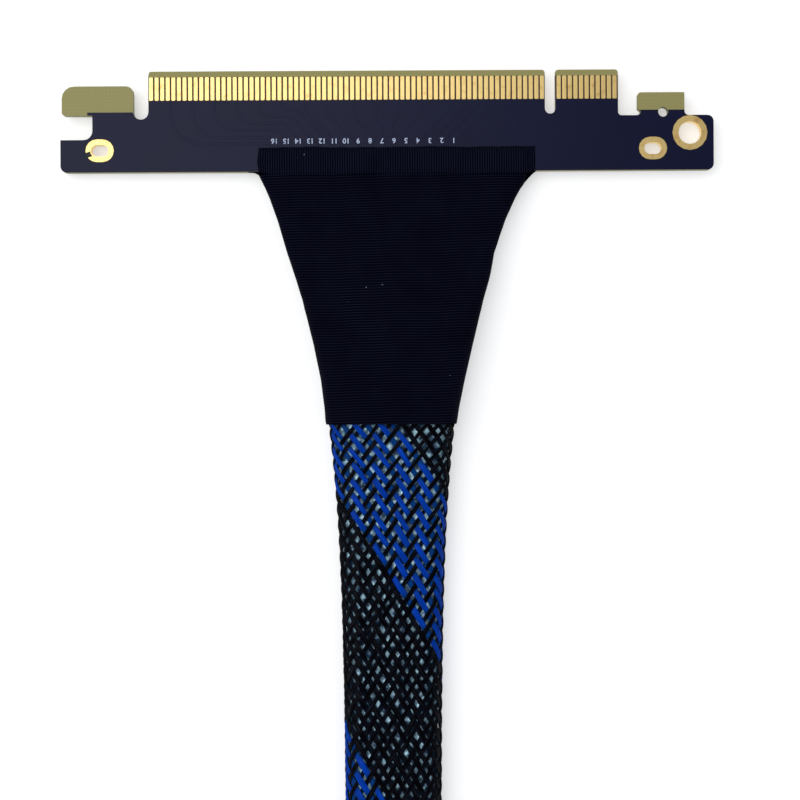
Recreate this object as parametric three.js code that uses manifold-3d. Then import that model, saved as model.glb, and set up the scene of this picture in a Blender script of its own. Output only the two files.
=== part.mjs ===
// A sleeved riser cable: an x16 edge connector board, a bundle of eight flat
// ribbon cables held by cloth tape and a braided sleeve, and an x16 socket board.
// Millimetres. It lies flat on z = 0, with the contact fingers at +Y, the socket
// at -Y and the faces with the socket and the lane numbers up.

import * as THREE from 'three';
import { mergeVertices } from 'three/addons/utils/BufferGeometryUtils.js';
import Module from 'manifold-3d';

const wasm = await Module();
wasm.setup();

// Overall layout, along Y
const CABLE_SPAN = 250; // from one board's cable side to the other's
const EDGE_BOARD_DEPTH = 18.1;
const SOCKET_BOARD_DEPTH = 27;
const TOTAL_LENGTH = EDGE_BOARD_DEPTH + CABLE_SPAN + SOCKET_BOARD_DEPTH;
const EDGE_TOP_Y = TOTAL_LENGTH / 2;
const EDGE_CABLE_Y = EDGE_TOP_Y - EDGE_BOARD_DEPTH;
const SOCKET_CABLE_Y = EDGE_CABLE_Y - CABLE_SPAN;
const CABLE_X = 0.6; // the bundle lies a little to the right of the boards' middle

// Boards
const BOARD_WIDTH = 117;
const CORE_THICKNESS = 1.52;
const MASK_THICKNESS = 0.04;
const PAD_HEIGHT = 0.05;
const BOARD_HALF = CORE_THICKNESS / 2 + MASK_THICKNESS;

// Card edge
const LONG_TONGUE = 71;
const KEY_NOTCH = 1.9;
const SHORT_TONGUE = 11.2;
const KEY_NOTCH_DEPTH = 7.95;
const TONGUE_CORNER = 0.5;
const TONGUE_ROOT_RADIUS = 0.6;
const TONGUE_END = LONG_TONGUE + KEY_NOTCH + SHORT_TONGUE;
// The board's bare ends beside the tongues: the hook's at the left, the tab's at the right
const HOOK_END = 0.4802 * (BOARD_WIDTH - TONGUE_END);
const TAB_END = BOARD_WIDTH - TONGUE_END - HOOK_END;
const TONGUE_X = HOOK_END - BOARD_WIDTH / 2; // the long tongue's free corner
const BEVEL_LENGTH = 1.1;
const BEVEL_DEPTH = 0.4;
const FINGER_PITCH = 1;
const FINGER_WIDTH = 0.7;
const FINGER_TOP = 1.15;
const FINGER_LENGTH = 4.15;
const MASK_LINE = 5.35;

// Hook, lug and latch cut-out at the left of the edge board
const HOOK_NOTCH = 2.75;
const HOOK_NOTCH_DEPTH = 8.67;
const HOOK_TOP = 2.67;
const HOOK_UNDERSIDE = 7.9;
const HOOK_SETBACK = 0.26;
const HOOK_RADIUS = 2.2;
const HOOK_NOTCH_RADIUS = 1.25;
const HOOK_TIP_RADIUS = 0.57;
const NECK_X = 0.6367 * HOOK_END;
const NECK_RADIUS = 1.6;
const LUG_TOP = 12.28;
const HOOK_MASK_LINE = 7.37;
const HOOK_TIP_BARE = 0.9; // how far short of the hook's tip the mask stops, from the neck

// Tab and shoulder at the right of the edge board
const TAB_LEFT = TONGUE_END + 0.2076 * TAB_END;
const TAB_UNDERCUT = 0.5; // the router cut in under the tab's left edge
const TAB_RIGHT = TONGUE_END + 0.6959 * TAB_END;
const TAB_TOP = 4.21;
const TAB_RADIUS = 0.55;
const TAB_ROOT_RADIUS = 0.7;
const BOARD_CORNER = 1.1;
const SHOULDER_DEPTH = 8.3;
const TAB_MASK_LINE = 7.35;
const TAB_HOLE = { x: (TAB_LEFT + TAB_RIGHT) / 2 + 0.35, y: -7.7, r: 0.9 };

// Plated holes
const RING_HEIGHT = 0.05;
const PLATING = 0.15;
const PLATING_CLEARANCE = 0.05;
const MASK_CLEARANCE = 0.1;
const ROUND_RING = { straight: 0, hole: 4.1, ring: 6.25 };
const SLOT_RING = { straight: 1, hole: 2.12, ring: 4.05 };
const MOUNT_RING = { straight: 0, hole: 3.2, ring: 6 };
const ROUND_HOLE_INSET = 4.25; // from the board's right end
const SLOT_FROM_HOLE = 6.63;
const SLOT_FROM_NECK = 1.29;
const ROUND_RING_AT = [TONGUE_END + TAB_END - ROUND_HOLE_INSET, -11.45];
const SLOT_LEFT_AT = [SLOT_FROM_NECK - NECK_X, -14.2];
const SLOT_RIGHT_AT = [ROUND_RING_AT[0] - SLOT_FROM_HOLE, -14.2];
const RING_BREAK = { angle: -2.8, width: 0.95 };
const MOUNT_INSET = 4.2;

// Cloth tape
const TAPE = 0.4;
const TAPE_CLEARANCE = 0.3;
const STRIP_WIDTH = 49.5;
const STRIP_OFFSET = 1.07; // the strip's middle, to the right of the bundle's
const STRIP_ON_BOARD = 4.25;
const STRIP_OVERHANG = 0.7;
const STRIP_SHOULDER = 2.6;
const WRAP_BOARD_WIDTH = 46.8;
const WRAP_MOUTH_WIDTH = 23.4;
const WRAP_LENGTH = 44.3;
const WRAP_TAPER = 1.45;
const WRAP_STEPS = 9;
const WRAP_FOLD = 1.6; // the corner radius where the tape leaves the board

// Ribbons
const RIBBONS = 4;
const RIBBON_WIDTH = 8;
const RIBBON_THICKNESS = 0.7;
const RIBBON_PITCH = 10.6;
const RIBBON_SEAT = 0.1;
const RIBBON_STACK_GAP = 0.15;
const RIBBON_SOLDERED = 3.2;
const RIBBON_STEPS = 7;
const RIBBON_EDGE = 0.3;
const RIBBON_STRAIGHT = 3; // how far they run on before they draw in
const RIBBON_LIFT = [1, 12]; // where the outer ones rise over the inner ones
const STACK_SPACING = 8.5;

// Sleeve
const SLEEVE_WIDTH = 17.2;
const SLEEVE_THICKNESS = 6.6;
const SLEEVE_TUCK = 5;
const SLEEVE_CLEARANCE = 0.3;

// Socket
const HOUSING_END = 2.3;
const HOUSING_WIDTH = 7.5;
const HOUSING_HEIGHT = 11.25;
const HOUSING_CORNER = 0.8;
const HOUSING_SETBACK = 15; // its middle, from the board's cable side
const SLOT_WIDTH = 1.8;
const SLOT_DEPTH = 8.8;
const SLOT_SIDE_CLEARANCE = 0.15;
const SLOT_LEAD_IN = 0.6;
const LEAD_WIDTH = 0.45;
const LEAD_LENGTH = 1.2;
const LEAD_HEIGHT = 0.3;
const LEAD_ROOT = 0.2; // how deep it starts inside the housing
const SOCKET_BOARD_CORNER = 2.5;

// Heights: the tape strips' outer faces lie on the ground
const STRIP_HEIGHT = RIBBON_SEAT + RIBBON_THICKNESS + TAPE_CLEARANCE + TAPE;
const BOARD_Z = STRIP_HEIGHT + BOARD_HALF;
const MOUTH_HALF = SLEEVE_THICKNESS / 2 + SLEEVE_CLEARANCE + TAPE;

const material = (color, roughness, metalness = 0) =>
  new THREE.MeshStandardMaterial({ color, roughness, metalness });
const fibreglass = () => material(0x98955c, 0.6);
const solderMask = () => material(0x202538, 0.3);
const gold = () => material(0xd9b25e, 0.3, 1);
const clothTape = () => material(0x0b0d16, 0.8);
const ribbonJacket = () => material(0xb9c4cc, 0.4);
const braid = () => material(0x0d1738, 0.6);
const housingPlastic = () => material(0x15161a, 0.5);

const model = new THREE.Group();

function place(name, geometry, finish, parent = model) {
  const mesh = new THREE.Mesh(geometry, finish);
  mesh.name = name;
  parent.add(mesh);
  return mesh;
}

// Turns a closed geometry into a solid for joining and cutting.
function solidOf(geometry) {
  const bare = geometry.clone();
  bare.deleteAttribute('normal');
  bare.deleteAttribute('uv');
  const merged = mergeVertices(bare, 1e-5);
  return new wasm.Manifold(
    new wasm.Mesh({
      numProp: 3,
      vertProperties: new Float32Array(merged.attributes.position.array),
      triVerts: new Uint32Array(merged.index.array),
    }),
  );
}

function geometryOf(solid) {
  const mesh = solid.getMesh();
  const geometry = new THREE.BufferGeometry();
  geometry.setAttribute('position', new THREE.BufferAttribute(mesh.vertProperties, 3));
  geometry.setIndex(new THREE.BufferAttribute(mesh.triVerts, 1));
  geometry.computeVertexNormals();
  return geometry;
}

// A box between two corners.
function block(low, high) {
  const size = high.map((value, axis) => value - low[axis]);
  const centre = high.map((value, axis) => (value + low[axis]) / 2);
  return new THREE.BoxGeometry(...size).translate(...centre);
}

// A flat shape given its thickness upwards from z.
function slab(shape, z, thickness) {
  return new THREE.ExtrudeGeometry(shape, { depth: thickness, bevelEnabled: false })
    .translate(0, 0, z);
}

// An outline whose corners are [x, y, radius]; round corners become arcs.
function outline(corners, arcSteps = 4) {
  const points = [];
  corners.forEach(([x, y, radius = 0], i) => {
    const corner = new THREE.Vector2(x, y);
    if (radius === 0) {
      points.push(corner);
      return;
    }
    const before = corners[(i + corners.length - 1) % corners.length];
    const after = corners[(i + 1) % corners.length];
    const toBefore = new THREE.Vector2(before[0], before[1]).sub(corner).normalize();
    const toAfter = new THREE.Vector2(after[0], after[1]).sub(corner).normalize();
    const half = Math.acos(THREE.MathUtils.clamp(toBefore.dot(toAfter), -1, 1)) / 2;
    const middle = toBefore.clone().add(toAfter).normalize();
    const centre = corner.clone().addScaledVector(middle, radius / Math.sin(half));
    const start = corner.clone().addScaledVector(toBefore, radius / Math.tan(half));
    const sweep = Math.PI - 2 * half;
    const turn = Math.sign(toAfter.cross(toBefore)) || 1;
    for (let step = 0; step <= arcSteps; step += 1) {
      const angle = turn * sweep * (step / arcSteps);
      points.push(start.clone().rotateAround(centre, angle));
    }
  });
  const kept = points.filter((p, i) => {
    const previous = points[(i + points.length - 1) % points.length];
    return p.distanceTo(previous) > 1e-4;
  });
  return new THREE.Shape(kept);
}

// A round-ended slot's outline along X, or a circle where straight is 0.
function stadium(straight, width, x = 0, y = 0, arcSteps = 8) {
  const points = [];
  [1, -1].forEach((side) => {
    const from = side > 0 ? -Math.PI / 2 : Math.PI / 2;
    for (let step = 0; step <= arcSteps; step += 1) {
      if (straight === 0 && step === arcSteps) break;
      const angle = from + (Math.PI * step) / arcSteps;
      points.push(new THREE.Vector2(
        x + (side * straight) / 2 + (Math.cos(angle) * width) / 2,
        y + (Math.sin(angle) * width) / 2,
      ));
    }
  });
  return new THREE.Shape(points);
}

// Card edge board. Its outline is measured from the long tongue's free corner.
const onTongue = (geometry) => geometry.translate(TONGUE_X, EDGE_TOP_Y, 0);

function edgeOutline() {
  const left = -HOOK_END;
  const right = TONGUE_END + TAB_END;
  const c = TONGUE_CORNER;
  return outline([
    [0, 0, c], [LONG_TONGUE, 0, c],
    [LONG_TONGUE, -KEY_NOTCH_DEPTH, KEY_NOTCH / 2],
    [LONG_TONGUE + KEY_NOTCH, -KEY_NOTCH_DEPTH, KEY_NOTCH / 2],
    [LONG_TONGUE + KEY_NOTCH, 0, c], [TONGUE_END, 0, c],
    [TONGUE_END, -SHOULDER_DEPTH, TONGUE_ROOT_RADIUS],
    [TAB_LEFT + TAB_UNDERCUT, -SHOULDER_DEPTH, TAB_ROOT_RADIUS],
    [TAB_LEFT + TAB_UNDERCUT, -TAB_MASK_LINE - 0.2],
    [TAB_LEFT, -TAB_MASK_LINE + TAB_UNDERCUT / 2], [TAB_LEFT, -TAB_TOP, TAB_RADIUS],
    [TAB_RIGHT, -TAB_TOP, TAB_RADIUS / 3], [TAB_RIGHT, -SHOULDER_DEPTH, TAB_ROOT_RADIUS],
    [right, -SHOULDER_DEPTH, BOARD_CORNER], [right, -EDGE_BOARD_DEPTH, BOARD_CORNER],
    [left, -EDGE_BOARD_DEPTH, BOARD_CORNER], [left, -LUG_TOP],
    [-NECK_X, -LUG_TOP, NECK_RADIUS], [-NECK_X, -HOOK_UNDERSIDE],
    [left + HOOK_SETBACK, -HOOK_UNDERSIDE, HOOK_TIP_RADIUS],
    [left + HOOK_SETBACK, -HOOK_TOP, HOOK_RADIUS],
    [-HOOK_NOTCH, -HOOK_TOP, HOOK_NOTCH_RADIUS],
    [-HOOK_NOTCH, -HOOK_NOTCH_DEPTH, HOOK_NOTCH / 2],
    [0, -HOOK_NOTCH_DEPTH, HOOK_NOTCH / 2],
  ]);
}

// Every contact finger's middle, from the long tongue's free corner.
function fingerCentres() {
  const centres = [];
  const tongues = [[0, LONG_TONGUE], [LONG_TONGUE + KEY_NOTCH, SHORT_TONGUE]];
  tongues.forEach(([start, length]) => {
    const count = Math.round(length / FINGER_PITCH - 0.1);
    const margin = start === 0 ? FINGER_PITCH / 2 : (length - (count - 1) * FINGER_PITCH) / 2;
    for (let i = 0; i < count; i += 1) centres.push(start + margin + i * FINGER_PITCH);
  });
  return centres;
}

const EDGE_RINGS = [
  ['edge_hole_ring', ROUND_RING, ROUND_RING_AT],
  ['edge_slot_ring_left', SLOT_RING, SLOT_LEFT_AT],
  ['edge_slot_ring_right', SLOT_RING, SLOT_RIGHT_AT],
];

// The opening that a ring's barrel passes through, or that a mask leaves for a ring.
const barrelHole = ({ straight, hole }, [x, y]) =>
  stadium(straight, hole + 2 * (PLATING + PLATING_CLEARANCE), x, y);
const maskHole = ({ straight, ring }, [x, y]) =>
  stadium(straight, ring + 2 * MASK_CLEARANCE, x, y);

// What the bevel along the tongues' ends takes off one face.
function bevelCut(side) {
  const wedge = new THREE.Shape();
  const reach = 0.5;
  const surface = CORE_THICKNESS / 2;
  const slope = BEVEL_DEPTH / BEVEL_LENGTH;
  wedge.moveTo(-BEVEL_LENGTH, side * surface);
  wedge.lineTo(reach, side * (surface - slope * (BEVEL_LENGTH + reach)));
  wedge.lineTo(reach, side * CORE_THICKNESS);
  wedge.lineTo(-BEVEL_LENGTH, side * CORE_THICKNESS);
  const length = TONGUE_END + 2 * reach;
  const prism = new THREE.ExtrudeGeometry(wedge, { depth: length, bevelEnabled: false });
  return prism.rotateY(Math.PI / 2).rotateX(Math.PI / 2).translate(-reach, 0, 0);
}

function edgeBoard() {
  const shape = edgeOutline();
  EDGE_RINGS.forEach(([, ring, at]) => shape.holes.push(barrelHole(ring, at)));
  shape.holes.push(stadium(0, 2 * TAB_HOLE.r, TAB_HOLE.x, TAB_HOLE.y));
  let board = solidOf(slab(shape, -CORE_THICKNESS / 2, CORE_THICKNESS));
  const reach = CORE_THICKNESS / 2 + PAD_HEIGHT;
  const pads = fingerCentres().map((x) => solidOf(block(
    [x - FINGER_WIDTH / 2, -FINGER_TOP - FINGER_LENGTH, -reach],
    [x + FINGER_WIDTH / 2, -FINGER_TOP, reach],
  )));
  board = wasm.Manifold.union([board, ...pads]);
  [1, -1].forEach((side) => {
    board = board.subtract(solidOf(bevelCut(side)));
  });
  return onTongue(geometryOf(board));
}

// The mask on one face: the board's outline less the bare card edge, hook and tab.
function edgeMask(side) {
  const shape = edgeOutline();
  shape.holes.push(stadium(0, 2 * TAB_HOLE.r, TAB_HOLE.x, TAB_HOLE.y));
  const low = side > 0 ? CORE_THICKNESS / 2 : -BOARD_HALF;
  const bare = [
    [-HOOK_NOTCH / 2, TONGUE_END + 1, MASK_LINE],
    [-BOARD_WIDTH, -HOOK_NOTCH / 2, HOOK_MASK_LINE],
    [-BOARD_WIDTH, -NECK_X - HOOK_TIP_BARE, HOOK_UNDERSIDE + 1],
    [TONGUE_END + 1, BOARD_WIDTH, TAB_MASK_LINE],
  ];
  let mask = solidOf(slab(shape, low, MASK_THICKNESS));
  bare.forEach(([from, to, line]) => {
    mask = mask.subtract(solidOf(block([from, -line, -2], [to, 1, 2])));
  });
  EDGE_RINGS.forEach(([, ring, at]) => {
    mask = mask.subtract(solidOf(slab(maskHole(ring, at), -2, 4)));
  });
  return onTongue(geometryOf(mask));
}

// A plated hole: a barrel through the board with a ring on each face.
function platedHole({ straight, hole, ring }, at, gap = null) {
  const reach = CORE_THICKNESS / 2;
  const barrel = slab(stadium(straight, hole + 2 * PLATING), -reach, 2 * reach);
  const rings = [-reach - RING_HEIGHT, reach].map(
    (z) => solidOf(slab(stadium(straight, ring), z, RING_HEIGHT)),
  );
  if (gap) {
    const cut = block([0, -gap.width / 2, reach], [ring, gap.width / 2, reach + 1]);
    rings[1] = rings[1].subtract(solidOf(cut.rotateZ(gap.angle)));
  }
  const bore = slab(stadium(straight, hole), -2, 4);
  const solid = wasm.Manifold.union([solidOf(barrel), ...rings]).subtract(solidOf(bore));
  return geometryOf(solid).translate(at[0], at[1], 0);
}

function addEdgeBoard() {
  const group = new THREE.Group();
  group.position.z = BOARD_Z;
  model.add(group);
  place('edge_board', edgeBoard(), fibreglass(), group);
  place('edge_mask_front', edgeMask(1), solderMask(), group);
  place('edge_mask_back', edgeMask(-1), solderMask(), group);
  EDGE_RINGS.forEach(([name, ring, at]) => {
    const gap = name.endsWith('left') ? RING_BREAK : null;
    place(name, onTongue(platedHole(ring, at, gap)), gold(), group);
  });
}

// Socket board: a plain rectangle with a plated hole in each corner.
function mountCentres() {
  const x = BOARD_WIDTH / 2 - MOUNT_INSET;
  const near = SOCKET_CABLE_Y - MOUNT_INSET;
  const far = SOCKET_CABLE_Y - SOCKET_BOARD_DEPTH + MOUNT_INSET;
  return [[-x, near], [x, near], [-x, far], [x, far]];
}

function socketOutline(holeOf) {
  const x = BOARD_WIDTH / 2;
  const near = SOCKET_CABLE_Y;
  const far = SOCKET_CABLE_Y - SOCKET_BOARD_DEPTH;
  const r = SOCKET_BOARD_CORNER;
  const shape = outline([[-x, near, r], [x, near, r], [x, far, r], [-x, far, r]]);
  mountCentres().forEach((at) => shape.holes.push(holeOf(MOUNT_RING, at)));
  return shape;
}

function addSocketBoard() {
  const group = new THREE.Group();
  group.position.z = BOARD_Z;
  model.add(group);
  const half = CORE_THICKNESS / 2;
  const core = slab(socketOutline(barrelHole), -half, CORE_THICKNESS);
  const front = slab(socketOutline(maskHole), half, MASK_THICKNESS);
  const back = slab(socketOutline(maskHole), -BOARD_HALF, MASK_THICKNESS);
  place('socket_board', core, fibreglass(), group);
  place('socket_mask_front', front, solderMask(), group);
  place('socket_mask_back', back, solderMask(), group);
  mountCentres().forEach((at, i) => {
    place(`socket_hole_ring_${i + 1}`, platedHole(MOUNT_RING, at), gold(), group);
  });
  const housing = socketHousing();
  housing.translate(TONGUE_X, SOCKET_CABLE_Y - HOUSING_SETBACK, BOARD_HALF);
  place('socket_housing', housing, housingPlastic(), group);
}

// The x16 slot housing. Its contacts' leads are fused to its foot on both sides.
function socketHousing() {
  const w = HOUSING_WIDTH / 2;
  const from = -HOUSING_END;
  const to = TONGUE_END + HOUSING_END;
  const r = HOUSING_CORNER;
  const body = slab(outline([[from, -w, r], [to, -w, r], [to, w, r], [from, w, r]]),
    0, HOUSING_HEIGHT);
  const leads = [];
  fingerCentres().forEach((x) => {
    [1, -1].forEach((side) => {
      const ends = [side * (w - LEAD_ROOT), side * (w + LEAD_LENGTH)].sort((a, b) => a - b);
      leads.push(solidOf(block(
        [x - LEAD_WIDTH / 2, ends[0], 0],
        [x + LEAD_WIDTH / 2, ends[1], LEAD_HEIGHT],
      )));
    });
  });
  let housing = wasm.Manifold.union([solidOf(body), ...leads]);
  const c = SLOT_SIDE_CLEARANCE;
  const cavities = [[-c, LONG_TONGUE + c], [LONG_TONGUE + KEY_NOTCH - c, TONGUE_END + c]];
  cavities.forEach(([start, end]) => {
    const floor = HOUSING_HEIGHT - SLOT_DEPTH;
    const cavity = block([start, -SLOT_WIDTH / 2, floor],
      [end, SLOT_WIDTH / 2, HOUSING_HEIGHT + 1]);
    housing = housing.subtract(solidOf(cavity)).subtract(solidOf(leadIn(start, end)));
  });
  return geometryOf(housing);
}

// The chamfered mouth of one cavity.
function leadIn(start, end) {
  const half = SLOT_WIDTH / 2;
  const mouth = new THREE.Shape();
  mouth.moveTo(-half, HOUSING_HEIGHT - SLOT_LEAD_IN);
  mouth.lineTo(half, HOUSING_HEIGHT - SLOT_LEAD_IN);
  mouth.lineTo(half + 2 * SLOT_LEAD_IN, HOUSING_HEIGHT + SLOT_LEAD_IN);
  mouth.lineTo(-half - 2 * SLOT_LEAD_IN, HOUSING_HEIGHT + SLOT_LEAD_IN);
  const prism = new THREE.ExtrudeGeometry(mouth, { depth: end - start, bevelEnabled: false });
  prism.rotateX(Math.PI / 2).rotateZ(Math.PI / 2);
  return prism.translate(start, 0, 0);
}

// A rounded rectangle's ring of points in the XZ plane.
function roundRing(halfWidth, halfHeight, radius, x, y, z, arcSteps = 4) {
  const ring = [];
  const r = Math.min(radius, halfHeight - 0.01, halfWidth - 0.01);
  [[1, 1], [-1, 1], [-1, -1], [1, -1]].forEach(([sx, sz], quarter) => {
    for (let step = 0; step <= arcSteps; step += 1) {
      const angle = (quarter + step / arcSteps) * (Math.PI / 2);
      ring.push(new THREE.Vector3(
        x + sx * (halfWidth - r) + r * Math.cos(angle),
        y,
        z + sz * (halfHeight - r) + r * Math.sin(angle),
      ));
    }
  });
  return ring;
}

// Joins rings of points into one closed skin; a closed loop of rings has no caps.
function skin(rings, looped) {
  const size = rings[0].length;
  const positions = rings.flat().flatMap((p) => [p.x, p.y, p.z]);
  const faces = [];
  const bands = looped ? rings.length : rings.length - 1;
  for (let band = 0; band < bands; band += 1) {
    const a = band * size;
    const b = ((band + 1) % rings.length) * size;
    for (let i = 0; i < size; i += 1) {
      const j = (i + 1) % size;
      faces.push(a + i, b + i, b + j, a + i, b + j, a + j);
    }
  }
  if (!looped) {
    const last = (rings.length - 1) * size;
    for (let i = 1; i < size - 1; i += 1) {
      faces.push(0, i, i + 1, last, last + i + 1, last + i);
    }
  }
  const geometry = new THREE.BufferGeometry();
  geometry.setAttribute('position', new THREE.Float32BufferAttribute(positions, 3));
  geometry.setIndex(faces);
  geometry.computeVertexNormals();
  return geometry;
}

// Both cable ends are built alike: distance d runs from a board's cable side towards
// the middle of the cable, and way is the direction of that along Y.
const END_EDGE = { prefix: 'edge', y: EDGE_CABLE_Y, way: -1 };
const END_SOCKET = { prefix: 'socket', y: SOCKET_CABLE_Y, way: 1 };
const WRAP_START = STRIP_OVERHANG + TAPE_CLEARANCE;
const wrapShare = (d) => THREE.MathUtils.clamp((d - WRAP_START) / WRAP_LENGTH, 0, 1);

// The tape funnel's half width and half height at distance d.
function wrapSize(d) {
  const rest = 1 - wrapShare(d);
  const width = WRAP_MOUTH_WIDTH
    + (WRAP_BOARD_WIDTH - WRAP_MOUTH_WIDTH) * rest ** WRAP_TAPER;
  return { width: width / 2, height: MOUTH_HALF - (MOUTH_HALF - BOARD_Z) * rest * rest };
}

function wrapShell({ y, way }) {
  const rings = [];
  for (let step = 0; step <= WRAP_STEPS; step += 1) {
    const d = WRAP_START + (WRAP_LENGTH * step) / WRAP_STEPS;
    const { width, height } = wrapSize(d);
    const radius = THREE.MathUtils.lerp(WRAP_FOLD, height - TAPE, wrapShare(d));
    const at = [CABLE_X, y + way * d, height];
    rings[step] = roundRing(width, height, radius, ...at);
    rings[2 * WRAP_STEPS + 1 - step] = roundRing(
      width - TAPE, height - TAPE, radius - TAPE, ...at,
    );
  }
  if (way < 0) rings.reverse();
  return skin(rings, true);
}

// The tape strip over the solder joints of one face, open below for the ribbons.
function tapeStrip({ y, way }, side) {
  const half = STRIP_WIDTH / 2;
  const inner = ((RIBBONS - 1) * RIBBON_PITCH + RIBBON_WIDTH) / 2 + TAPE_CLEARANCE;
  const middle = -side * STRIP_OFFSET;
  const arch = new THREE.Shape();
  arch.moveTo(-half, 0);
  arch.lineTo(-half, TAPE);
  arch.quadraticCurveTo(-half + STRIP_SHOULDER / 2, STRIP_HEIGHT,
    -half + STRIP_SHOULDER, STRIP_HEIGHT);
  arch.lineTo(half - STRIP_SHOULDER, STRIP_HEIGHT);
  arch.quadraticCurveTo(half - STRIP_SHOULDER / 2, STRIP_HEIGHT, half, TAPE);
  arch.lineTo(half, 0);
  arch.lineTo(middle + inner, 0);
  arch.lineTo(middle + inner, STRIP_HEIGHT - TAPE);
  arch.lineTo(middle - inner, STRIP_HEIGHT - TAPE);
  arch.lineTo(middle - inner, 0);
  const length = STRIP_ON_BOARD + STRIP_OVERHANG;
  const strip = new THREE.ExtrudeGeometry(arch, {
    depth: length, bevelEnabled: false, curveSegments: 4,
  });
  strip.rotateX(Math.PI / 2);
  strip.translate(0, way < 0 ? STRIP_ON_BOARD : STRIP_OVERHANG, BOARD_HALF);
  if (side < 0) strip.rotateY(Math.PI);
  return strip.translate(CABLE_X + STRIP_OFFSET, y, BOARD_Z);
}

// One ribbon: soldered flat on a face, then drawn inwards, the outer ones over the
// inner ones, until all lie in two columns where the sleeve begins.
function ribbon({ y, way }, side, index) {
  const lane = index - (RIBBONS - 1) / 2;
  const outer = Math.abs(lane) > 1;
  const startX = lane * RIBBON_PITCH;
  const endX = (Math.sign(lane) * STACK_SPACING) / 2;
  const inLevel = BOARD_HALF + RIBBON_SEAT + RIBBON_THICKNESS / 2;
  const outLevel = inLevel + RIBBON_THICKNESS + RIBBON_STACK_GAP;
  const rings = [];
  const end = WRAP_START + WRAP_LENGTH - SLEEVE_TUCK - SLEEVE_CLEARANCE;
  for (let step = 0; step <= RIBBON_STEPS; step += 1) {
    const d = THREE.MathUtils.lerp(-RIBBON_SOLDERED, end, step / RIBBON_STEPS);
    const draw = THREE.MathUtils.smoothstep(d, RIBBON_STRAIGHT, end);
    const rise = outer ? THREE.MathUtils.smoothstep(d, ...RIBBON_LIFT) : 0;
    const level = THREE.MathUtils.lerp(inLevel, outLevel, rise);
    const x = CABLE_X + THREE.MathUtils.lerp(startX, endX, draw);
    rings.push(roundRing(RIBBON_WIDTH / 2, RIBBON_THICKNESS / 2, RIBBON_EDGE, x, y + way * d,
      wrapSize(d).height + side * level, 1));
  }
  if (way < 0) rings.reverse();
  return skin(rings, false);
}

function addCableEnd(end) {
  const faces = [['front', 1], ['back', -1]];
  faces.forEach(([face, side]) => {
    place(`${end.prefix}_strip_${face}`, tapeStrip(end, side), clothTape());
    for (let i = 0; i < RIBBONS; i += 1) {
      const name = `${end.prefix}_ribbon_${face}_${i + 1}`;
      place(name, ribbon(end, side, i), ribbonJacket());
    }
  });
  place(`${end.prefix}_wrap`, wrapShell(end), clothTape());
}

// The sleeved bundle between the two tape mouths: it leaves each mouth level and
// settles onto the ground within a short distance.
const SLEEVE_ROUTE = [
  [0.6, 89.15, 4], [0.6, 84.15, 4], [0.6, 76, 3.7], [0.6, 66, 3.4], [0.6, 54, 3.32],
  [0.6, 42, 3.32], [0.6, 30, 3.32], [0.6, 18, 3.32], [0.6, 6, 3.32], [0.6, -6, 3.32],
  [0.6, -18, 3.32], [0.6, -30, 3.32], [0.6, -44, 3.32], [0.6, -57, 3.4], [0.6, -67, 3.7],
  [0.6, -75.25, 4], [0.6, -80.25, 4],
];

function addSleeve() {
  const route = new THREE.CatmullRomCurve3(
    SLEEVE_ROUTE.map(([x, y, z]) => new THREE.Vector3(x, y, z)),
  );
  const section = [];
  for (let i = 0; i < 12; i += 1) {
    const angle = (i / 12) * 2 * Math.PI;
    section.push(new THREE.Vector2(
      (Math.cos(angle) * SLEEVE_WIDTH) / 2,
      (Math.sin(angle) * SLEEVE_THICKNESS) / 2,
    ));
  }
  const tube = new THREE.ExtrudeGeometry(new THREE.Shape(section), {
    steps: 16, bevelEnabled: false, extrudePath: route,
  });
  place('cable_sleeve', tube, braid());
}

addEdgeBoard();
addCableEnd(END_EDGE);
addSleeve();
addCableEnd(END_SOCKET);
addSocketBoard();

export default model;
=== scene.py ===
"""Dresses the sleeved riser cable: boards, plated contacts, cloth tape, braided sleeve and socket.

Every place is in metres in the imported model's own frame. Sizes in the classes are in millimetres,
as a maker would write them, and are turned to metres where the vertices are worked out.
"""

from __future__ import annotations

import logging
import math
from dataclasses import dataclass
from enum import Enum
from typing import Any, Sequence

import bpy
import numpy as np
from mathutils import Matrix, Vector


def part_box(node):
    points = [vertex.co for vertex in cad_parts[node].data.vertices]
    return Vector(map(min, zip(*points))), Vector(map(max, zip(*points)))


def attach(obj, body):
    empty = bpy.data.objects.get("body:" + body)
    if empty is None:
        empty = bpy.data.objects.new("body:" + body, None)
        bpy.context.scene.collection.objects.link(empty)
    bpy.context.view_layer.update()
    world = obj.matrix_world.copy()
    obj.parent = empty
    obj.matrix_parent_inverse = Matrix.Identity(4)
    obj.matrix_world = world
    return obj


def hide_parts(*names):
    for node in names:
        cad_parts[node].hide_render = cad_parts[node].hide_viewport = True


Array = np.ndarray
Material = bpy.types.Material
Object = bpy.types.Object
Socket = bpy.types.NodeSocket
Tree = bpy.types.NodeTree

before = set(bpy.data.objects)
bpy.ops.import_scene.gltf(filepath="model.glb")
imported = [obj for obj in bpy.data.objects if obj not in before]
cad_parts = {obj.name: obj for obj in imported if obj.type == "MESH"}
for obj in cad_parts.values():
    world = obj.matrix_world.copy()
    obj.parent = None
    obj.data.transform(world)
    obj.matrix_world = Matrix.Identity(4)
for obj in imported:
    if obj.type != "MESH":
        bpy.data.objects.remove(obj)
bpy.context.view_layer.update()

log = logging.getLogger("riser")
MM = 0.001
TAU = 2 * math.pi

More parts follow.
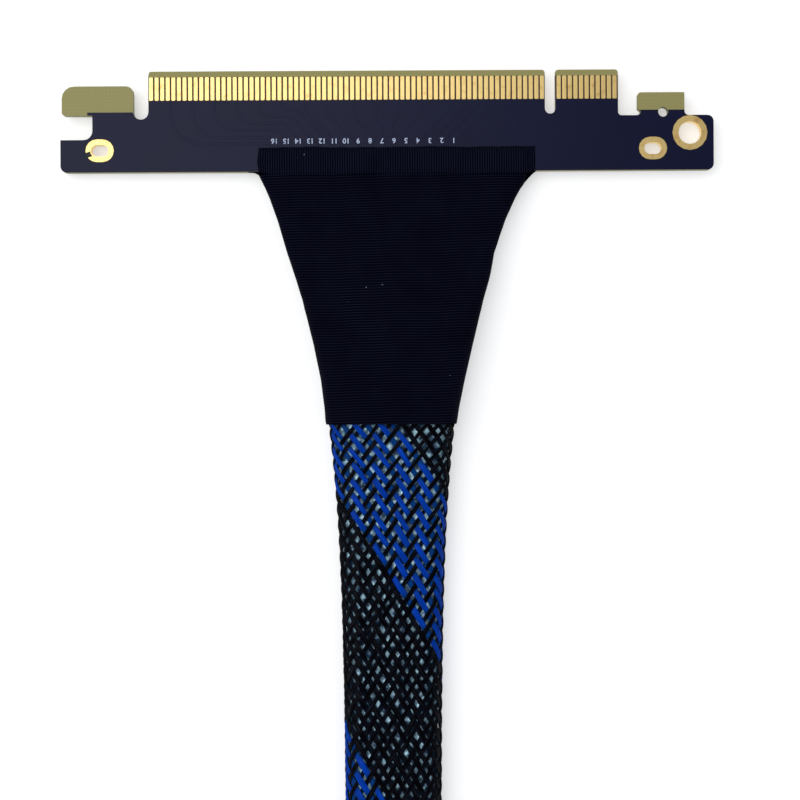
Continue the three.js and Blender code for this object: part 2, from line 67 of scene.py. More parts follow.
# The free corner of the long tongue, from the edge board's top left corner of its box.
TONGUE_INSET = 15.8
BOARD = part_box("edge_board")
ORIGIN_X = BOARD[0][0] / MM + TONGUE_INSET
ORIGIN_Y = BOARD[1][1] / MM
MASK_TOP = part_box("edge_mask_front")[1][2] / MM
MASK_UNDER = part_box("edge_mask_back")[0][2] / MM
BOARD_MIDDLE = (MASK_TOP + MASK_UNDER) / 2
EDGE_CABLE_Y = BOARD[0][1] / MM
SOCKET_CABLE_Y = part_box("socket_board")[1][1] / MM


class Labelled(Enum):
    """A choice whose own name stands in the names of pieces."""

    @property
    def label(self) -> str:
        """The choice's name in small letters."""
        return self.name.lower()


class Face(Labelled):
    """The two faces of a board: the side of its middle that each lies on."""

    FRONT = 1
    BACK = -1


class End(Labelled):
    """The cable's two ends: each board's cable side in Y, and the way from it to the middle."""

    EDGE = (EDGE_CABLE_Y, -1)
    SOCKET = (SOCKET_CABLE_Y, 1)

    def along(self, distance: Any) -> Any:
        """The place in Y a distance from the board towards the cable's middle."""
        return self.value[0] + self.value[1] * distance


def from_tongue(x: Any, y: Any) -> tuple[Any, Any]:
    """Turns millimetres from the long tongue's corner into millimetres in the frame."""
    return ORIGIN_X + np.asarray(x), ORIGIN_Y + np.asarray(y)


def surface(face: Face) -> float:
    """The height of a board's masked face, in millimetres."""
    return MASK_TOP if face is Face.FRONT else MASK_UNDER


def linear(colour: str) -> tuple[float, float, float, float]:
    """Turns an sRGB hex colour into linear light.

    Args:
        colour: Six hex digits after a hash.

    Returns:
        Red, green, blue and an alpha of one.
    """
    parts = [int(colour[i : i + 2], 16) / 255 for i in (1, 3, 5)]
    light = [p / 12.92 if p <= 0.04045 else ((p + 0.055) / 1.055) ** 2.4 for p in parts]
    return (light[0], light[1], light[2], 1.0)


def add_node(
    tree: Tree,
    kind: str,
    inputs: dict[Any, Any] | None = None,
    **settings: Any,
) -> bpy.types.Node:
    """Adds one node with its settings, input values and links.

    Args:
        tree: The node tree that gets the node.
        kind: The node's type name.
        inputs: Values or output sockets, by the name or number of the input.
        settings: Attributes of the node.

    Returns:
        The new node.
    """
    node = tree.nodes.new(kind)
    for name, value in settings.items():
        setattr(node, name, value)
    for key, value in (inputs or {}).items():
        socket = node.inputs[key]
        if isinstance(value, Socket):
            tree.links.new(value, socket)
        else:
            socket.default_value = value
    return node


def new_material(name: str) -> tuple[Material, Tree]:
    """Makes an empty node material.

    Returns:
        The material and its node tree.
    """
    material = bpy.data.materials.new(name)
    material.use_nodes = True
    material.node_tree.nodes.clear()
    return material, material.node_tree


def compute(tree: Tree, operation: str, *values: Any) -> Socket:
    """Adds one math node.

    Returns:
        Its result.
    """
    inputs = dict(enumerate(values))
    return add_node(tree, "ShaderNodeMath", inputs, operation=operation).outputs[0]


def object_place(tree: Tree) -> Socket:
    """Gives the place on the piece, in metres in the frame."""
    return add_node(tree, "ShaderNodeTexCoord").outputs["Object"]


def noise(tree: Tree, place: Socket, size_mm: float, detail: float) -> Socket:
    """Adds noise whose clouds are about one size across."""
    return add_node(tree, "ShaderNodeTexNoise", {
        "Vector": place, "Scale": 1 / (size_mm * MM), "Detail": detail}).outputs["Fac"]


def cells(tree: Tree, place: Socket, size_mm: float) -> Socket:
    """Adds scattered cells about one size apart, and gives how far the nearest middle is."""
    return add_node(tree, "ShaderNodeTexVoronoi", {
        "Vector": place, "Scale": 1 / (size_mm * MM)}).outputs["Distance"]


def remap(tree: Tree, value: Socket, low: float, high: float,
          start: float = 0.0, end: float = 1.0) -> Socket:
    """Spreads low to high over start to end, and holds the ends."""
    return add_node(tree, "ShaderNodeMapRange", {
        "Value": value, "From Min": low, "From Max": high, "To Min": start, "To Max": end,
    }).outputs[0]


def blend(tree: Tree, share: Socket, low: Any, high: Any) -> Socket:
    """Mixes two colours, each a hex colour or a socket."""
    ends = [linear(colour) if isinstance(colour, str) else colour for colour in (low, high)]
    return add_node(tree, "ShaderNodeMix", {
        "Factor": share, 6: ends[0], 7: ends[1]}, data_type="RGBA").outputs[2]


def bump(tree: Tree, height: Socket, strength: float, distance_mm: float) -> Socket:
    """Turns a height into a bent normal."""
    return add_node(tree, "ShaderNodeBump", {
        "Strength": strength, "Distance": distance_mm * MM, "Height": height}).outputs[0]


def shader(tree: Tree, colour: Any, rough: Any, **more: Any) -> Socket:
    """Adds a principled shader.

    Args:
        tree: The node tree that gets it.
        colour: A hex colour or a socket.
        rough: The roughness, a number or a socket.
        more: Other inputs, by name, with a low line for each space.

    Returns:
        The shader's output.
    """
    inputs = {name.replace("_", " "): value for name, value in more.items()}
    inputs["Base Color"] = linear(colour) if isinstance(colour, str) else colour
    inputs["Roughness"] = rough
    return add_node(tree, "ShaderNodeBsdfPrincipled", inputs).outputs[0]


def mixed(tree: Tree, share: Socket, low: Socket, high: Socket) -> Socket:
    """Mixes two shaders."""
    return add_node(tree, "ShaderNodeMixShader", {0: share, 1: low, 2: high}).outputs[0]


def ramp_stops(node: bpy.types.Node, stops: Sequence[tuple[float, str]]) -> None:
    """Sets a colour ramp's stops from places and hex colours."""
    ramp = node.color_ramp
    while len(ramp.elements) < len(stops):
        ramp.elements.new(0.5)
    for element, (place, colour) in zip(ramp.elements, stops):
        element.position = place
        element.color = linear(colour)


@dataclass(frozen=True)
class Finish:
    """A material that ends in one shader."""

    name: str = "finish"

    def surface(self, tree: Tree) -> Socket:
        """Makes the shader that the material ends in."""
        raise NotImplementedError

    def build(self) -> Material:
        """Makes the material."""
        material, tree = new_material(self.name)
        add_node(tree, "ShaderNodeOutputMaterial", {"Surface": self.surface(tree)})
        return material


@dataclass(frozen=True)
class Laminate(Finish):
    """FR4 laminate: woven glass in yellow green epoxy, routed to shape.

    To the eye it is a dull olive with a faint square cloth grain, and where a raised pad is it is
    gold. Between the contact fingers it is painted a darker brown, as painted shade.
    """

    name: str = "fr4_laminate"
    colour: str = "#9C965B"
    thread: str = "#969057"
    # gap is painted shade: the darker brown laid on the laminate between the contact fingers, where
    # shade falls.
    gap: str = "#38250F"
    covered: str = "#05060B"
    cloth_mm: float = 0.62
    raised_mm: float = 0.79
    face_mm: float = 0.755
    mask_from: float = 8.0
    rough: float = 0.55
    pad_rough: float = 0.35
    # Middle and reach of the row of fingers, along the board and down it
    row_x: tuple[float, float] = (42.05, 42.05)
    row_y: tuple[float, float] = (-3.24, 2.12)
    pad_y: tuple[float, float] = (-3.225, 1.92)

    def surface(self, tree: Tree) -> Socket:
        """Makes the shader. Height over the board's middle tells pad from laminate."""
        place = object_place(tree)
        axes = add_node(tree, "ShaderNodeSeparateXYZ", {0: place})
        # A wave texture at a scale of one has a band each twentieth of a turn
        scale = TAU / (self.cloth_mm * MM) / 20
        warp, weft = (add_node(tree, "ShaderNodeTexWave", {
            "Vector": place, "Scale": scale, "Distortion": 1.2, "Detail Scale": 2.0,
        }, bands_direction=axis).outputs["Fac"] for axis in "XY")
        cloth = compute(tree, "MULTIPLY", warp, weft)
        base = blend(tree, cloth, self.thread, self.colour)
        height = compute(tree, "SUBTRACT", axes.outputs["Z"], BOARD_MIDDLE * MM)
        depth = compute(tree, "ABSOLUTE", height)

        def within(axis: str, start: float, span: tuple[float, float]) -> Socket:
            """One where the place is within reach of the middle, along an axis."""
            return compute(tree, "COMPARE", axes.outputs[axis], (start + span[0]) * MM,
                           span[1] * MM)

        row = compute(tree, "MULTIPLY", within("X", ORIGIN_X, self.row_x),
                      within("Y", ORIGIN_Y, self.row_y))
        face = compute(tree, "GREATER_THAN", depth, self.face_mm * MM)
        low = compute(tree, "LESS_THAN", axes.outputs["Y"], (ORIGIN_Y - self.mask_from) * MM)
        hidden = compute(tree, "MULTIPLY", face, low)
        # Within the finger row the laminate takes the gap colour as painted shade between the
        # fingers.
        shade = blend(tree, hidden, blend(tree, row, base, self.gap), self.covered)
        tall = compute(tree, "GREATER_THAN", depth, self.raised_mm * MM)
        raised = compute(tree, "MULTIPLY", tall, within("Y", ORIGIN_Y, self.pad_y))
        board = shader(tree, shade, self.rough, Normal=bump(tree, cloth, 0.12, 0.02))
        pad = shader(tree, Gold().colour, self.pad_rough, Metallic=1.0)
        return mixed(tree, raised, board, pad)


@dataclass(frozen=True)
class SolderMask(Finish):
    """Liquid photoimageable solder mask: a thin dark blue black lacquer, cured glossy.

    To the eye it is nearly black with a navy cast, and its gloss is softened by a
    faint orange peel.
    """

    name: str = "solder_mask_lacquer"
    colour: str = "#02062A"
    cast: str = "#040A33"
    cloud_mm: float = 6.0
    peel_mm: float = 0.9
    rough: float = 0.34
    gloss: float = 0.2

    def surface(self, tree: Tree) -> Socket:
        """Makes the shader."""
        place = object_place(tree)
        tone = blend(tree, noise(tree, place, self.cloud_mm, 3.0), self.colour, self.cast)
        peel = bump(tree, noise(tree, place, self.peel_mm, 2.0), 0.12, 0.02)
        return shader(tree, tone, self.rough, Normal=peel, Specular_IOR_Level=self.gloss)


@dataclass(frozen=True)
class Gold(Finish):
    """Hard gold plated over nickel and copper, polished by wiping along the fingers.

    To the eye it is a warm yellow metal, with fine lengthwise streaks and a few
    duller, browner spots.
    """

    name: str = "gold_plating"
    colour: str = "#FADB91"
    worn: str = "#E2AF69"
    streak_mm: float = 0.12
    spot_mm: float = 1.6
    rough: tuple[float, float] = (0.24, 0.42)

    def surface(self, tree: Tree) -> Socket:
        """Makes the shader."""
        place = object_place(tree)
        along = add_node(tree, "ShaderNodeMapping", {"Vector": place, "Scale": (1, 0.06, 1)})
        streak = noise(tree, along.outputs[0], self.streak_mm, 2.0)
        worn = remap(tree, noise(tree, place, self.spot_mm, 4.0), 0.54, 0.8)
        tone = blend(tree, worn, self.colour, self.worn)
        rough = remap(tree, streak, 0.0, 1.0, *self.rough)
        return shader(tree, tone, rough, Metallic=1.0, Normal=bump(tree, streak, 0.15, 0.01))


@dataclass(frozen=True)
class ClothTape(Finish):
    """Woven acetate cloth tape, dyed black.

    To the eye it is a matte blue black, with a painted highlight along each rib's crest, fine
    threads across the ribs and a few specks of pale lint.
    """

    name: str = "black_cloth_tape"
    colour: str = "#01010B"
    # The rib crests' colour is a painted highlight, lighter where light catches them.
    painted_crown_highlight: str = "#171A2C"
    lint: str = "#7A8093"
    thread_mm: float = 0.2
    patch_mm: float = 5.0
    lint_mm: float = 2.6
    rough: float = 0.7
    gloss: float = 0.015

    def surface(self, tree: Tree) -> Socket:
        """Makes the shader. The piece's own attribute rib is one on a rib's crest, where a painted
        highlight is laid.
        """
        place = object_place(tree)
        rib = add_node(tree, "ShaderNodeAttribute", attribute_name="rib")
        patch = noise(tree, place, self.patch_mm, 4.0)
        # The painted highlight lies on the rib crests, stronger in some patches than others.
        line = compute(tree, "POWER", rib.outputs["Fac"], 2.5)
        painted_crown_highlight = compute(tree, "MULTIPLY", line, remap(tree, patch, 0.3, 0.65, 0.55))
        tone = blend(tree, painted_crown_highlight, self.colour, self.painted_crown_highlight)
        small = compute(tree, "LESS_THAN", cells(tree, place, self.lint_mm), 0.035)
        lint = compute(tree, "MULTIPLY", small, compute(tree, "GREATER_THAN", patch, 0.56))
        cloth = blend(tree, lint, tone, self.lint)
        thread = bump(tree, noise(tree, place, self.thread_mm, 2.0), 0.4, 0.03)
        return shader(tree, cloth, self.rough, Normal=thread, Specular_IOR_Level=self.gloss)


@dataclass(frozen=True)
class Monofilament(Finish):
    """Extruded polyester monofilament, three laid side by side in each strand.

    To the eye each filament is a glossy round thread with one long highlight. Along each strand,
    patches of painted sheen are laid in its colour: a faint green grey on black ones and a brighter
    blue on blue ones.
    """

    colour: str = "#010106"
    # A lighter colour laid in patches along the strand as painted sheen.
    painted_glint: str = "#20232E"
    # The colour for a strand where it dives under the others: painted shading for how light falls
    # there.
    painted_under_shading: str = "#0A121E"
    length_mm: float = 3.0
    rough: float = 0.25
    gloss: float = 0.035

    def surface(self, tree: Tree) -> Socket:
        """Makes the shader.

        UV runs along the strand in millimetres and across it. The attribute level is nought where
        the strand dives under the others, and there its colour gives way to painted shading: a dark
        slate on black strands and a darker navy on blue ones.
        """
        uv = add_node(tree, "ShaderNodeUVMap", uv_map="strand")
        stretched = add_node(tree, "ShaderNodeMapping", {
            "Vector": uv.outputs[0], "Scale": (1 / self.length_mm, 6.0, 1.0)})
        # Noise along the strand picks the patches of painted sheen.
        painted_glint_noise = add_node(tree, "ShaderNodeTexNoise", {
            "Vector": stretched.outputs[0], "Scale": 1.0, "Detail": 2.0})
        spread = remap(tree, painted_glint_noise.outputs["Fac"], 0.52, 0.72)
        # Where the strand dives under the others, its colour turns to the painted under shading.
        level = add_node(tree, "ShaderNodeAttribute", attribute_name="level")
        deep = remap(tree, level.outputs["Fac"], 0.55, 0.2)
        shade = blend(tree, deep, blend(tree, spread, self.colour, self.painted_glint), self.painted_under_shading)
        return shader(tree, shade, self.rough, Specular_IOR_Level=self.gloss)


@dataclass(frozen=True)
class Foil(Finish):
    """Aluminium shielding foil on polyester film, wrapped by hand and creased.

    To the eye it is a pale cyan silver, broken into small bright and dark facets. The cyan is a
    painted reflection of the sky, and clouds of painted reflection and painted shade stand for the
    facets' light.
    """

    name: str = "shielding_foil"
    # colour is the painted bright reflection and shade the painted shade; clouds between them make
    # the facets' light and dark.
    colour: str = "#BDEBFF"
    shade: str = "#153E5E"
    crease_mm: float = 0.8
    cloud_mm: float = 1.5
    rough: float = 0.3
    metallic: float = 0.25

    def surface(self, tree: Tree) -> Socket:
        """Makes the shader."""
        place = object_place(tree)
        # Clouds of painted shade and painted reflection, about 1.5 mm across.
        spread = remap(tree, noise(tree, place, self.cloud_mm, 5.0), 0.42, 0.62)
        tone = blend(tree, spread, self.shade, self.colour)
        creased = bump(tree, cells(tree, place, self.crease_mm), 0.8, 0.2)
        return shader(tree, tone, self.rough, Metallic=self.metallic, Normal=creased)


@dataclass(frozen=True)
class HousingPlastic(Finish):
    """Glass filled nylon, injection moulded, with tinned leads fused at its foot.

    To the eye it is a black with a fine dry grain, and the leads are a bright grey.
    """

    name: str = "glass_filled_nylon"
    colour: str = "#17181B"
    tin: str = "#C9C9C4"
    grain_mm: float = 0.18
    half_width_mm: float = 3.77
    rough: float = 0.5

    def surface(self, tree: Tree) -> Socket:
        """Makes the shader. Distance from the housing's middle tells lead from body."""
        place = object_place(tree)
        axes = add_node(tree, "ShaderNodeSeparateXYZ", {0: place})
        low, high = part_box("socket_housing")
        offset = compute(tree, "SUBTRACT", axes.outputs["Y"], (low[1] + high[1]) / 2)
        away = compute(tree, "ABSOLUTE", offset)
        lead = compute(tree, "GREATER_THAN", away, self.half_width_mm * MM)
        grain = bump(tree, noise(tree, place, self.grain_mm, 3.0), 0.35, 0.03)
        body = shader(tree, self.colour, self.rough, Normal=grain)
        metal = shader(tree, self.tin, self.rough, Metallic=1.0)
        return mixed(tree, lead, body, metal)


@dataclass(frozen=True)
class Ink(Finish):
    """Epoxy legend ink, screen printed. To the eye it is a flat blue white with soft pinholes."""

    name: str = "legend_ink"
    colour: str = "#C6D4F2"
    pinhole: str = "#7F8BAE"
    pinhole_mm: float = 0.22
    rough: float = 0.6

    def surface(self, tree: Tree) -> Socket:
        """Makes the shader."""
        holes = noise(tree, object_place(tree), self.pinhole_mm, 2.0)
        tone = blend(tree, remap(tree, holes, 0.3, 0.5), self.pinhole, self.colour)
        return shader(tree, tone, self.rough)


class Finishes:
    """Every finish, made once and kept by name."""

    def __init__(self) -> None:
        """Builds the materials."""
        self.laminate = Laminate().build()
        self.mask = SolderMask().build()
        self.gold = Gold().build()
        self.tape = ClothTape().build()
        self.black = Monofilament("black_monofilament").build()
        # Blue strands: their own colour, a painted sheen colour and a painted under shading colour.
        self.blue = Monofilament("blue_monofilament", "#0138A0", "#0A50DC", "#063A7C").build()
        self.foil = Foil().build()
        self.housing = HousingPlastic().build()
        self.ink = Ink().build()


def add_object(name: str, data: Any) -> Object:
    """Makes an object from its data and links it into the scene."""
    thing = bpy.data.objects.new(name, data)
    bpy.context.scene.collection.objects.link(thing)
    return thing


def new_object(
    name: str,
    vertices: Array,
    polygons: Sequence[Array],
    material: Material,
    smooth: bool = False,
    uv: Array | None = None,
    attributes: dict[str, Array] | None = None,
) -> Object:
    """Puts whole arrays of vertices and faces into a new piece that rides on the root.

    Args:
        name: The piece's name.
        vertices: Points in millimetres, in an array of any shape that ends in three.
        polygons: Arrays of corner numbers, one array for each number of corners.
        material: The finish.
        smooth: Whether the faces are shaded smooth.
        uv: Two numbers for each vertex, for a UV map named strand.
        attributes: One number for each vertex, by name.

    Returns:
        The new object.
    """
    mesh = bpy.data.meshes.new(name)
    corners = np.concatenate([p.ravel() for p in polygons]).astype(np.int32)
    sizes = np.concatenate([np.full(len(p), p.shape[1]) for p in polygons])
    starts = np.concatenate([[0], np.cumsum(sizes)[:-1]]).astype(np.int32)
    mesh.vertices.add(vertices.size // 3)
    mesh.vertices.foreach_set("co", (vertices * MM).astype(np.float32).ravel())
    mesh.loops.add(len(corners))
    mesh.loops.foreach_set("vertex_index", corners)
    mesh.polygons.add(len(sizes))
    mesh.polygons.foreach_set("loop_start", starts)
    mesh.polygons.foreach_set("use_smooth", np.full(len(sizes), smooth))
    mesh.update(calc_edges=True)
    if uv is not None:
        layer = mesh.uv_layers.new(name="strand")
        layer.data.foreach_set("uv", uv[corners].astype(np.float32).ravel())
    for key, values in (attributes or {}).items():
        mesh.attributes.new(key, "FLOAT", "POINT").data.foreach_set(
            "value", values.astype(np.float32).ravel())
    mesh.materials.append(material)
    piece = add_object(name, mesh)
    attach(piece, "root")
    log.info("%s: %d faces", name, len(sizes))
    return piece


def stacks(rings: Array, looped: bool = False) -> list[Array]:
    """Joins rings of points into closed skins.

    Args:
        rings: An array of copies, levels, points and coordinates. The points run
            anticlockwise about the direction in which the levels go.
        looped: Whether the last level joins the first. Otherwise both ends are capped.

    Returns:
        Arrays of corner numbers.
    """
    copies, levels, count = rings.shape[:3]
    index = np.arange(copies * levels * count).reshape(copies, levels, count)
    after = np.roll(index, -1, axis=2)
    if looped:
        up, up_after = np.roll(index, -1, axis=1), np.roll(after, -1, axis=1)
        low, low_after = index, after
    else:
        low, low_after, up, up_after = index[:, :-1], after[:, :-1], index[:, 1:], after[:, 1:]
    sides = np.stack([low, low_after, up_after, up], axis=-1).reshape(-1, 4)
    if looped:
        return [sides]
    return [sides, np.concatenate([index[:, 0, ::-1], index[:, -1]])]


def gathered(parts: Sequence[tuple[Array, list[Array]]]) -> tuple[Array, list[Array]]:
    """Joins parts, each made of vertices and arrays of corner numbers.

    Returns:
        All vertices, and the renumbered faces, kind by kind.
    """
    starts = np.cumsum([0] + [len(part[0]) for part in parts])
    kinds = zip(*([faces + start for faces in part[1]] for part, start in zip(parts, starts)))
    return np.concatenate([part[0] for part in parts]), [np.concatenate(kind) for kind in kinds]


def rounded_plate(width: float, length: float, radius: float, steps: int = 4) -> Array:
    """The outline of a rectangle with round corners, about its middle.

    Each corner is a quarter circle about a point one radius in from both sides.

    Returns:
        Rows of x and y, anticlockwise.
    """
    angle = np.linspace(0, math.pi / 2, steps)
    quarters = []
    for i, (sx, sy) in enumerate([(1, 1), (-1, 1), (-1, -1), (1, -1)]):
        turned = angle + i * math.pi / 2
        quarters.append(np.stack([
            sx * (width / 2 - radius) + radius * np.cos(turned),
            sy * (length / 2 - radius) + radius * np.sin(turned)], axis=1))
    return np.concatenate(quarters)


@dataclass
class ContactFingers:
    """The gold plated fingers over the edge board's raised pads."""

    pitch: float = 1.0
    width: float = 0.706
    top: float = 1.14
    length: float = 4.17
    radius: float = 0.16
    height: float = 0.018
    shoulder: float = 0.01
    sunk: float = 0.03
    edge: float = 0.03
    long_count: int = 71
    short_count: int = 11
    short_start: float = 73.5

    def centres(self) -> Array:
        """Every finger's middle, from the long tongue's corner."""
        return np.concatenate([
            self.pitch / 2 + np.arange(self.long_count) * self.pitch,
            self.short_start + np.arange(self.short_count) * self.pitch])

    def build(self, face: Face, finish: Material) -> Object:
        """Makes one face's fingers: a round cornered outline raised in three levels.

        The first level is sunk in the pad, the second is the shoulder, and the third
        is drawn in by the edge, so each finger has a soft rim.
        """
        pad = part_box("edge_board")[1 if face is Face.FRONT else 0][2] / MM
        outer = rounded_plate(self.width, self.length, self.radius)
        inner = rounded_plate(self.width - 2 * self.edge, self.length - 2 * self.edge,
                              self.radius)
        levels = [(outer, -self.sunk), (outer, self.shoulder), (inner, self.height)]
        x, y = from_tongue(self.centres(), -self.top - self.length / 2)
        rings = np.zeros((len(x), 3, len(outer), 3))
        for k, (ring, rise) in enumerate(levels):
            rings[:, k, :, 0] = x[:, None] + ring[:, 0]
            rings[:, k, :, 1] = y + ring[:, 1]
            rings[:, k, :, 2] = pad + face.value * rise
        if face is Face.BACK:
            rings = rings[:, ::-1]
        return new_object(f"contact_fingers_{face.label}", rings, stacks(rings), finish)


@dataclass
class TraceRelief:
    """Copper lanes that stand up faintly under the mask, each seen by its two sides."""

    width: float = 0.36
    slope: float = 0.07
    height: float = 0.052
    sunk: float = 0.01
    start: float = -5.45
    end: float = -14.3
    arc_steps: int = 9
    # Where each lane ends along the tongue, and its corners with the radius of each
    lanes: Sequence[tuple[float, Sequence[tuple[float, float, float]]]] = (
        (22.8, ((4.0, -13.1, 5.6), (21.6, -13.1, 0.8))),
        (24.4, ((7.95, -12.0, 4.7), (22.1, -12.0, 1.5))),
        (26.58, ((11.85, -10.62, 3.7), (22.9, -10.62, 1.8))),
        (29.0, ((15.85, -9.4, 2.8), (24.1, -9.4, 1.8))),
        (31.55, ((19.9, -8.15, 1.9), (25.4, -8.15, 1.8))),
        (33.9, ((23.95, -7.0, 1.2), (26.6, -7.0, 1.2))),
        (35.4, ((28.0, -6.9, 1.2),)),
        (38.7, ((31.9, -7.5, 1.2),)),
        (40.2, ((36.8, -8.1, 1.2), (40.2, -11.5, 1.2))),
        (42.3, ((40.6, -8.6, 1.2), (42.3, -10.3, 1.2))),
        (43.9, ((45.0, -8.3, 1.2), (43.9, -9.4, 1.2))),
        (46.3, ((48.75, -7.9, 1.2), (46.3, -10.35, 1.2))),
        (49.0, ((54.9, -6.2, 0.6), (49.0, -12.1, 1.2))),
        (51.2, ((57.1, -6.2, 0.6), (51.2, -12.1, 1.2))),
        (53.4, ((59.3, -6.2, 0.6), (53.4, -12.1, 1.2))),
        (55.6, ((61.5, -6.2, 0.6), (55.6, -12.1, 1.2))),
    )

    def route(self, foot: float, corners: Sequence[tuple[float, float, float]]) -> Array:
        """One lane's line: straight runs joined by arcs that touch both runs."""
        table = np.array(corners)
        points = np.concatenate([[[table[0, 0], self.start]], table[:, :2], [[foot, self.end]]])
        line = [points[0]]
        for before, corner, after, radius in zip(points, points[1:], points[2:], table[:, 2]):
            into = (corner - before) / np.linalg.norm(corner - before)
            away = (after - corner) / np.linalg.norm(after - corner)
            bend = math.acos(float(np.clip(into @ away, -1, 1)))
            reach = radius * math.tan(bend / 2)
            side = math.copysign(1, into[0] * away[1] - into[1] * away[0])
            centre = corner - into * reach + side * radius * np.array([-into[1], into[0]])
            spoke = corner - into * reach - centre
            for turn in side * np.linspace(0, bend, self.arc_steps):
                cosine, sine = math.cos(turn), math.sin(turn)
                line.append(centre + [spoke[0] * cosine - spoke[1] * sine,
                                      spoke[0] * sine + spoke[1] * cosine])
        line.append(points[-1])
        return np.array(line)

    def strip(self, points: Array) -> Array:
        """A low bar along a line: four corners at each point, square to the line's run."""
        step = np.diff(points, axis=0)
        step /= np.linalg.norm(step, axis=1, keepdims=True)
        run = np.concatenate([step[:1], step[:-1] + step[1:], step[-1:]])
        run /= np.linalg.norm(run, axis=1, keepdims=True)
        normal = np.stack([run[:, 1], -run[:, 0]], axis=1)
        inner = self.width / 2
        outer = inner + self.slope
        rings = np.zeros((len(points), 4, 3))
        offsets = [(outer, -self.sunk), (inner, self.height),
                   (-inner, self.height), (-outer, -self.sunk)]
        for k, (across, rise) in enumerate(offsets):
            rings[:, k, :2] = points + normal * across
            rings[:, k, 2] = rise
        return rings

    def build(self, face: Face, finish: Material) -> Object:
        """Makes one face's lanes."""
        parts = []
        for foot, corners in self.lanes:
            rings = self.strip(self.route(foot, corners))
            rings[..., 0], rings[..., 1] = from_tongue(rings[..., 0], rings[..., 1])
            rings[..., 2] = surface(face) + face.value * rings[..., 2]
            if face is Face.BACK:
                rings = rings[::-1]
            parts.append((rings.reshape(-1, 3), stacks(rings[None])))
        vertices, polygons = gathered(parts)
        return new_object(f"trace_relief_{face.label}", vertices, polygons, finish)


@dataclass
class LaneNumbers:
    """The printed numbers over the tape, read from the socket's side."""

    size: float = 1.3
    boldness: float = 0.022
    lift: float = 0.058
    y: float = -12.62
    first: float = 22.55
    pitch: float = 2.14
    count: int = 16

    def mark(self, text: str, x: float) -> tuple[Array, list[Array]]:
        """One number's vertices and triangles, turned half round as printed."""
        curve = bpy.data.curves.new("mark", "FONT")
        curve.body = text
        curve.align_x = "CENTER"
        curve.align_y = "CENTER"
        curve.size = self.size
        curve.offset = self.boldness
        curve.resolution_u = 3
        holder = bpy.data.objects.new("mark", curve)
        flat = holder.to_mesh()
        flat.calc_loop_triangles()
        points = np.zeros(len(flat.vertices) * 3)
        flat.vertices.foreach_get("co", points)
        corners = np.zeros(len(flat.loop_triangles) * 3, dtype=np.int32)
        flat.loop_triangles.foreach_get("vertices", corners)
        points = points.reshape(-1, 3)
        placed = np.zeros_like(points)
        placed[:, 0], placed[:, 1] = from_tongue(x - points[:, 0], self.y - points[:, 1])
        placed[:, 2] = MASK_TOP + self.lift
        holder.to_mesh_clear()
        bpy.data.objects.remove(holder)
        bpy.data.curves.remove(curve)
        return placed, [corners.reshape(-1, 3)]

    def build(self, finish: Material) -> Object:
        """Makes all numbers one flat mesh, counting down to one."""
        vertices, polygons = gathered([
            self.mark(str(self.count - i), self.first + i * self.pitch)
            for i in range(self.count)])
        return new_object("lane_numbers", vertices, polygons, finish)


def wobble(place: Array, seed: int, scale: float) -> Array:
    """A smooth wandering value from minus one to one.

    It is a sum of three sines with seeded phases, which add up to 1.83 at most.
    """
    rng = np.random.default_rng(seed)
    total = np.zeros_like(place, dtype=float)
    for k in range(3):
        total += np.sin(place * TAU / (scale / (1 + 0.9 * k)) + rng.uniform(0, TAU)) / (1 + k)
    return total / 1.83


